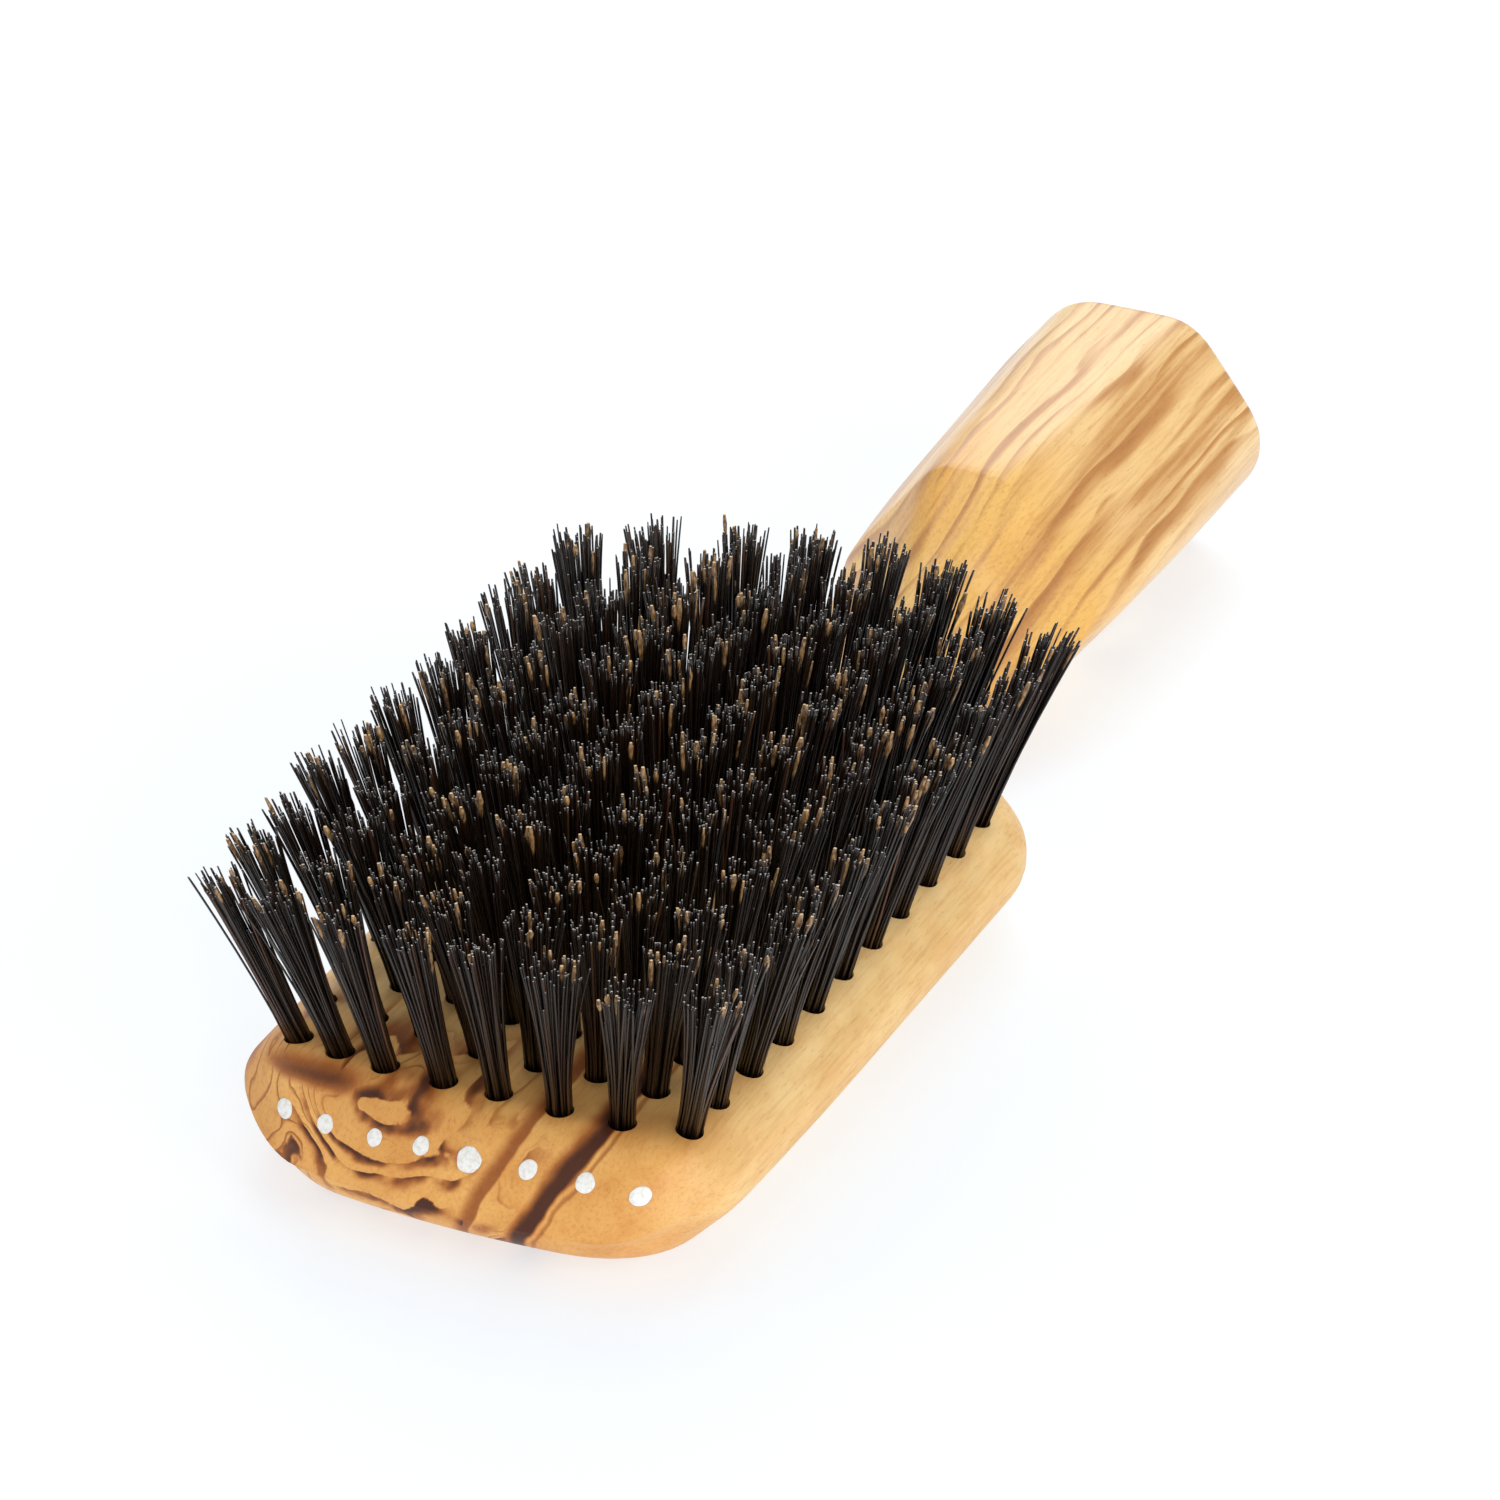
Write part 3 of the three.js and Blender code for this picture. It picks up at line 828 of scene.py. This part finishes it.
class OliveWood(Nodes):
    """Honey-coloured olive wood. Its growth rings run along the brush and show as bands, each dark
    on one side and fading on the other: nearly black-brown and swirling at the front end, long and
    mild on the handle, missing from the right of the head."""

    def __init__(self):
        super().__init__("olive_wood")
        split = self.node("ShaderNodeSeparateXYZ")
        self.link(self.place(), split.inputs[0])
        self.x, y, self.z = split.outputs
        self.along = self.math("SUBTRACT", y, wood_low.y)
        self.front = self.smooth(self.along, 30, 6)
        self.handle = self.smooth(self.along, 92, 116)
        self.slow = self.noise(self.place((0.1, 0.05, 0.1), (2, 8, 5)))
        self.colour_wood()
        self.finish_wood()

    def rings(self, right, up, width, wander, start=0.0):
        """Growth rings round a line along the brush, numbered outwards, and the distance from that
        line. Some rings are wider than others."""
        sideways = self.math("SUBTRACT", self.x, right)
        upwards = self.math("SUBTRACT", self.z, up)
        squares = self.math("MULTIPLY_ADD", sideways, sideways, self.math("MULTIPLY", upwards, upwards))
        radius = self.math("SQRT", squares)
        years = self.node("ShaderNodeTexNoise", noise_dimensions="1D")
        self.link(self.math("ADD", radius, start), years.inputs["W"])
        years.inputs["Scale"].default_value = 0.16
        number = self.math("DIVIDE", radius, width)
        number = self.math("MULTIPLY_ADD", years.outputs["Fac"], 2.5, number)
        return self.math("ADD", number, wander), radius

    def late_wood(self, number, fade, edge):
        """How dark the rings are: they darken over edge up to each boundary and fade over fade
        after it, both as shares of a ring's width."""
        part = self.math("FRACT", number)
        return self.math("MAXIMUM", self.smooth(part, fade, 0.0), self.smooth(part, 1 - edge, 1.0))

    def patches(self, radius, across, lengthwise, move):
        """Noise drawn out along the brush and round the rings."""
        spot = self.node("ShaderNodeCombineXYZ")
        around = self.math("SUBTRACT", self.x, self.z)
        self.link(self.math("MULTIPLY", radius, across), spot.inputs[0])
        self.link(self.math("MULTIPLY_ADD", self.along, lengthwise, move), spot.inputs[1])
        self.link(self.math("MULTIPLY", around, across * 0.25), spot.inputs[2])
        return self.noise(spot.outputs[0], detail=2.0)

    def handle_lines(self):
        """On the handle the rings are nearly upright, and show as long mild lines on all its facets."""
        wander = self.noise(self.place((0.035, 0.022, 0.035), (6, 2, 4)), detail=2.0)
        wander = self.math("MULTIPLY", wander, 5.0)
        number, radius = self.rings(right=-60.0, up=45.0, width=2.7, wander=wander)
        strength = self.smooth(self.patches(radius, across=0.5, lengthwise=0.022, move=3.0), 0.3, 0.66)
        lines = self.math("MULTIPLY", self.late_wood(number, fade=0.6, edge=0.12), strength)
        broad = self.smooth(self.patches(radius, across=0.2, lengthwise=0.014, move=8.0), 0.44, 0.64)
        fine = self.smooth(self.patches(radius, across=1.5, lengthwise=0.02, move=5.0), 0.45, 0.7)
        veins = self.math("MULTIPLY_ADD", fine, 0.16, self.math("MULTIPLY", lines, 0.62))
        veins = self.math("MULTIPLY_ADD", broad, 0.32, veins)
        return self.math("MULTIPLY", self.handle, veins)

    def front_swirls(self):
        """At the front end the rings are cut across, wander and come and go."""
        swirl = self.noise(self.place((0.075, 0.035, 0.08), (4, 1, 7)), 1.0, 1.6, 0.45, 0.6)
        wander = self.math("MULTIPLY", swirl, 7.0)
        number, _ = self.rings(right=-6.0, up=26.0, width=4.4, wander=wander, start=9.0)
        clouds = self.noise(self.place((0.12, 0.05, 0.14), (1, 5, 2)), 1.0, 3.0, 0.55, 0.4)
        clouds = self.smooth(clouds, 0.4, 0.62)
        feather = self.noise(self.place((0.9, 0.12, 0.9), (3, 3, 6)), detail=2.0)
        feathered = self.math("MULTIPLY_ADD", feather, 0.22, number)
        veins = self.late_wood(feathered, fade=0.7, edge=0.08)
        veins = self.math("MULTIPLY", veins, self.math("MULTIPLY_ADD", clouds, 0.9, 0.1))
        number = self.math("MULTIPLY_ADD", clouds, 0.8, self.math("MULTIPLY", number, 1.9))
        thin = self.late_wood(number, fade=0.34, edge=0.08)
        thin = self.math("MULTIPLY", thin, self.smooth(self.slow, 0.36, 0.6))
        veins = self.math("MAXIMUM", veins, self.math("MULTIPLY", thin, 0.5))
        level = self.math("MULTIPLY_ADD", self.slow, 3.0, self.z)
        rim = self.math("MULTIPLY", self.smooth(level, 14.2, 15.8), self.smooth(self.x, -9, -15))
        rim = self.math("MULTIPLY", rim, self.smooth(self.along, 11, 5))
        veins = self.math("MAXIMUM", veins, rim)
        left_front = self.math("MULTIPLY", self.front, self.smooth(self.x, 13, 4))
        return self.math("MULTIPLY", left_front, veins)

    def slanting_bands(self):
        """Dark bands across the front end, sharper on their right than on their left."""
        lean = self.math("MULTIPLY_ADD", self.math("SUBTRACT", self.z, 10.0), -0.45, self.x)
        slant = self.math("MULTIPLY_ADD", self.slow, 4.5, lean)
        total = 0.0
        for start, full, fade, end, strength in SLANTING_BANDS:
            band = self.math("MULTIPLY", self.smooth(slant, start, full), self.smooth(slant, end, fade))
            total = self.math("MULTIPLY_ADD", band, strength, total)
        return self.math("MULTIPLY", total, self.smooth(self.along, 44, 22), clamp=True)

    def plain_colour(self):
        """The wood between the veins: warm at the front, pale on the head, then golden, then honey."""
        drift = self.noise(self.place((0.06, 0.014, 0.06), (3, 7, 1)), 1.0, 3.0, 0.55, 0.6)
        pale = self.ramp(drift, (0.3, srgb(226, 182, 114)), (0.65, srgb(242, 206, 142)))
        warm = self.ramp(drift, (0.3, srgb(218, 152, 76)), (0.65, srgb(242, 186, 106)))
        golden = self.ramp(drift, (0.3, srgb(238, 182, 92)), (0.65, srgb(246, 206, 124)))
        honey = self.ramp(drift, (0.3, srgb(242, 198, 128)), (0.65, srgb(249, 217, 160)))
        warmth = self.math("MULTIPLY", self.front, self.smooth(self.x, 31, 21))
        neck = self.math("MULTIPLY", self.smooth(self.along, 96, 112), self.smooth(self.along, 152, 128))
        head_and_handle = self.mix(self.handle, self.mix(warmth, pale, warm), honey)
        return self.mix(neck, head_and_handle, golden)

    def colour_wood(self):
        """The plain wood turns amber where there is some vein, and dark where there is much."""
        veins = self.math("MAXIMUM", self.front_swirls(), self.handle_lines())
        veins = self.math("MAXIMUM", veins, self.slanting_bands(), clamp=True)
        amber = self.mix(self.handle, srgb(180, 108, 48), srgb(206, 150, 84))
        dark = self.mix(self.handle, srgb(78, 38, 18), srgb(184, 124, 64))
        colour = self.mix(self.smooth(veins, 0.0, 0.55), self.plain_colour(), amber)
        self.colour = self.mix(self.smooth(veins, 0.35, 0.95), colour, dark)

    def finish_wood(self):
        """Curl, fibres and pores over the colour, and an oiled surface that is glossier on the handle."""
        fibre = self.noise(self.place((2.6, 0.14, 2.6)), 1.0, 2.0, 0.6)
        pores = self.noise(self.place((5.0, 0.7, 5.0)), detail=2.0)
        curl = self.noise(self.place((0.3, 0.16, 0.3), (4, 6, 2)), 1.0, 3.0, 0.55)
        curl_strength = self.math("MULTIPLY_ADD", self.handle, -0.3, 0.4)
        layers = (
            (curl, 0.38, 0.66, curl_strength, srgb(238, 210, 180)),
            (fibre, 0.42, 0.75, 0.3, srgb(216, 180, 148)),
            (pores, 0.6, 0.72, 0.3, srgb(196, 156, 120)),
        )
        colour = self.colour
        for pattern, low, high, strength, tone in layers:
            share = self.math("MULTIPLY", self.smooth(pattern, low, high), strength)
            colour = self.mix(share, colour, tone, "MULTIPLY")
        matt = self.math("MULTIPLY_ADD", self.handle, -0.12, 0.44)
        height = self.math("MULTIPLY_ADD", fibre, 0.6, self.math("MULTIPLY", pores, 0.4))
        self.set(Base_Color=colour, Roughness=self.math("MULTIPLY_ADD", fibre, 0.14, matt))
        self.set(Normal=self.bump(height, 0.3, 0.05), Specular_IOR_Level=0.4)
        coat = self.math("MULTIPLY_ADD", self.handle, 0.3, 0.03)
        self.set(Coat_Weight=coat, Coat_Roughness=0.2)


def plug_white():
    n = Nodes("plug_white")
    grain = n.noise(n.place(), 2.2, 4.0, 0.6)
    colour = n.ramp(grain, (0.3, srgb(224, 220, 210)), (0.55, srgb(247, 246, 242)))
    n.set(Base_Color=colour, Roughness=n.math("ADD", 0.3, n.math("MULTIPLY", grain, 0.3)))
    n.set(Normal=n.bump(grain, 0.4, 0.05))
    return n.material


def hair_tint(n):
    """A hair's paleness and its own shade, from its mesh's vertex colour."""
    tint = n.node("ShaderNodeAttribute", attribute_name="tint")
    split = n.node("ShaderNodeSeparateColor")
    n.link(tint.outputs["Color"], split.inputs[0])
    return split.outputs["Red"], split.outputs["Blue"]


def hair_side():
    n = Nodes("hair_side")
    paleness, shade = hair_tint(n)
    dark = n.mix(shade, srgb(14, 6, 2), srgb(38, 23, 13))
    # A few hairs are brown throughout: partly a tone of their own, partly a painted glow standing in for
    # light shining through the tuft.
    dark = n.mix(n.smooth(shade, 0.93, 1.0), dark, srgb(78, 47, 26))
    streak = n.noise(n.place((1, 1, 0.4)), 3.0, 2.0)
    pale = n.mix(n.smooth(streak, 0.3, 0.7), srgb(80, 55, 34), srgb(180, 140, 92))
    colour = n.mix(paleness, dark, pale)
    n.set(Base_Color=colour, Roughness=n.math("MULTIPLY_ADD", streak, 0.2, 0.22))
    n.set(Specular_IOR_Level=0.52)
    return n.material


def hair_end():
    n = Nodes("hair_end")
    paleness, shade = hair_tint(n)
    grey = n.mix(shade, srgb(96, 94, 92), srgb(206, 204, 200))
    colour = n.mix(paleness, grey, srgb(214, 186, 140))
    n.set(Base_Color=colour, Roughness=n.math("ADD", 0.45, n.math("MULTIPLY", shade, 0.2)))
    return n.material


def wire_metal():
    n = Nodes("wire_metal")
    drawn = n.noise(n.place((6, 0.3, 6)))
    colour = n.ramp(drawn, (0.3, srgb(176, 174, 170)), (0.7, srgb(214, 212, 208)))
    n.set(Base_Color=colour, Roughness=n.math("ADD", 0.2, n.math("MULTIPLY", drawn, 0.2)))
    n.set(Metallic=1.0)
    return n.material


# ---- The brush ----

wood_material = OliveWood().material
plug_material = plug_white()
hair_materials = [hair_side(), hair_end()]
wire_material = wire_metal()

blank = body_mesh()
surface_bm = bmesh.new()
surface_bm.from_mesh(blank)
surface = BVHTree.FromBMesh(surface_bm)
surface_bm.free()

body = new_object("olive_body", drill(blank), [wood_material])
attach(body, "root")
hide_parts("wood_body")

for column in range(COLUMNS):
    number = column + 1
    plug = new_object(f"plug_{number}", plug_mesh(column, surface), [plug_material])
    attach(plug, "root")
    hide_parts(f"channel_plug_{number}")

    hairs = new_object(f"tuft_column_{number}", hair_row_mesh(column), hair_materials)
    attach(hairs, "root")
    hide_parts(f"bristle_row_{number}")

    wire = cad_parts[f"draw_wire_{number}"]
    for slot in wire.material_slots:
        slot.material = wire_material

# ---- Camera, floor and light ----

ELEVATION = math.radians(29.146)
AZIMUTH = math.radians(25.413)
CAMERA_PLACE = Vector((263.19, to_y(0) - 480.25, 364.14)) * MM
LENS = 156.0
FLOOR_HALF_SIZE = 3.0  # metres
FLOOR_GAP = 0.0002
WORLD_STRENGTH = 0.42

# Each light's name, place, aim and size in metres, and its power in watts.
LIGHTS = (
    ("overhead", (-0.1, 0.45, 0.9), (0, 0.08, 0.03), (0.8, 0.8), 4.0),
    ("right_sheet", (0.95, -0.35, 0.5), (0, 0, 0.02), (0.6, 0.6), 4.2),
    ("front_right", (0.6, -0.8, 0.35), (0, -0.05, 0.02), (0.25, 0.5), 2.8),
    ("left_sheet", (-0.95, -0.4, 0.55), (0, 0, 0.02), (0.8, 0.7), 2.3),
    ("back_sheet", (-0.75, 1.3, 0.75), (0, 0.08, 0.03), (1.4, 0.7), 6.0),
)

back = Vector(
    (
        math.sin(AZIMUTH) * math.cos(ELEVATION),
        -math.cos(AZIMUTH) * math.cos(ELEVATION),
        math.sin(ELEVATION),
    )
)
right = Vector((math.cos(AZIMUTH), math.sin(AZIMUTH), 0))
up = back.cross(right)
camera_data = bpy.data.cameras.new("camera")
camera_data.lens = LENS
camera_data.sensor_width = 36.0
camera_data.clip_start = 0.01
camera_data.clip_end = 20.0
camera = bpy.data.objects.new("camera", camera_data)
camera.matrix_world = Matrix.Translation(CAMERA_PLACE) @ Matrix((right, up, back)).transposed().to_4x4()
bpy.context.scene.collection.objects.link(camera)
bpy.context.scene.camera = camera


def floor_material():
    n = Nodes("studio_floor")
    mottle = n.noise(n.place((0.002, 0.002, 0.002)), detail=2.0)
    n.set(Base_Color=n.ramp(mottle, (0.0, (0.38, 0.42, 0.46, 1)), (1.0, (0.4, 0.44, 0.48, 1))))
    n.set(Roughness=0.9, Specular_IOR_Level=0.1)
    n.set(Emission_Color=(0.95, 0.965, 0.985, 1), Emission_Strength=0.64)
    return n.material


def studio_floor():
    bm = bmesh.new()
    bmesh.ops.create_grid(bm, x_segments=8, y_segments=8, size=FLOOR_HALF_SIZE)
    floor = new_object("studio_floor", mesh_from(bm, "studio_floor"), [floor_material()])
    floor.location.z = cad_bounds[0][2] - FLOOR_GAP


def area_light(name, place, aim, size, power):
    data = bpy.data.lights.new(name, "AREA")
    data.shape = "RECTANGLE"
    data.size, data.size_y = size
    data.energy = power
    light = bpy.data.objects.new(name, data)
    light.location = place
    light.rotation_euler = (Vector(aim) - Vector(place)).to_track_quat("-Z", "Y").to_euler()
    bpy.context.scene.collection.objects.link(light)


studio_floor()
for light in LIGHTS:
    area_light(*light)

world = bpy.data.worlds.new("studio")
world.use_nodes = True
background = world.node_tree.nodes["Background"]
background.inputs["Color"].default_value = (1, 1, 1, 1)
background.inputs["Strength"].default_value = WORLD_STRENGTH
bpy.context.scene.world = world
bpy.context.scene.view_settings.view_transform = "Standard"

bpy.context.view_layer.update()
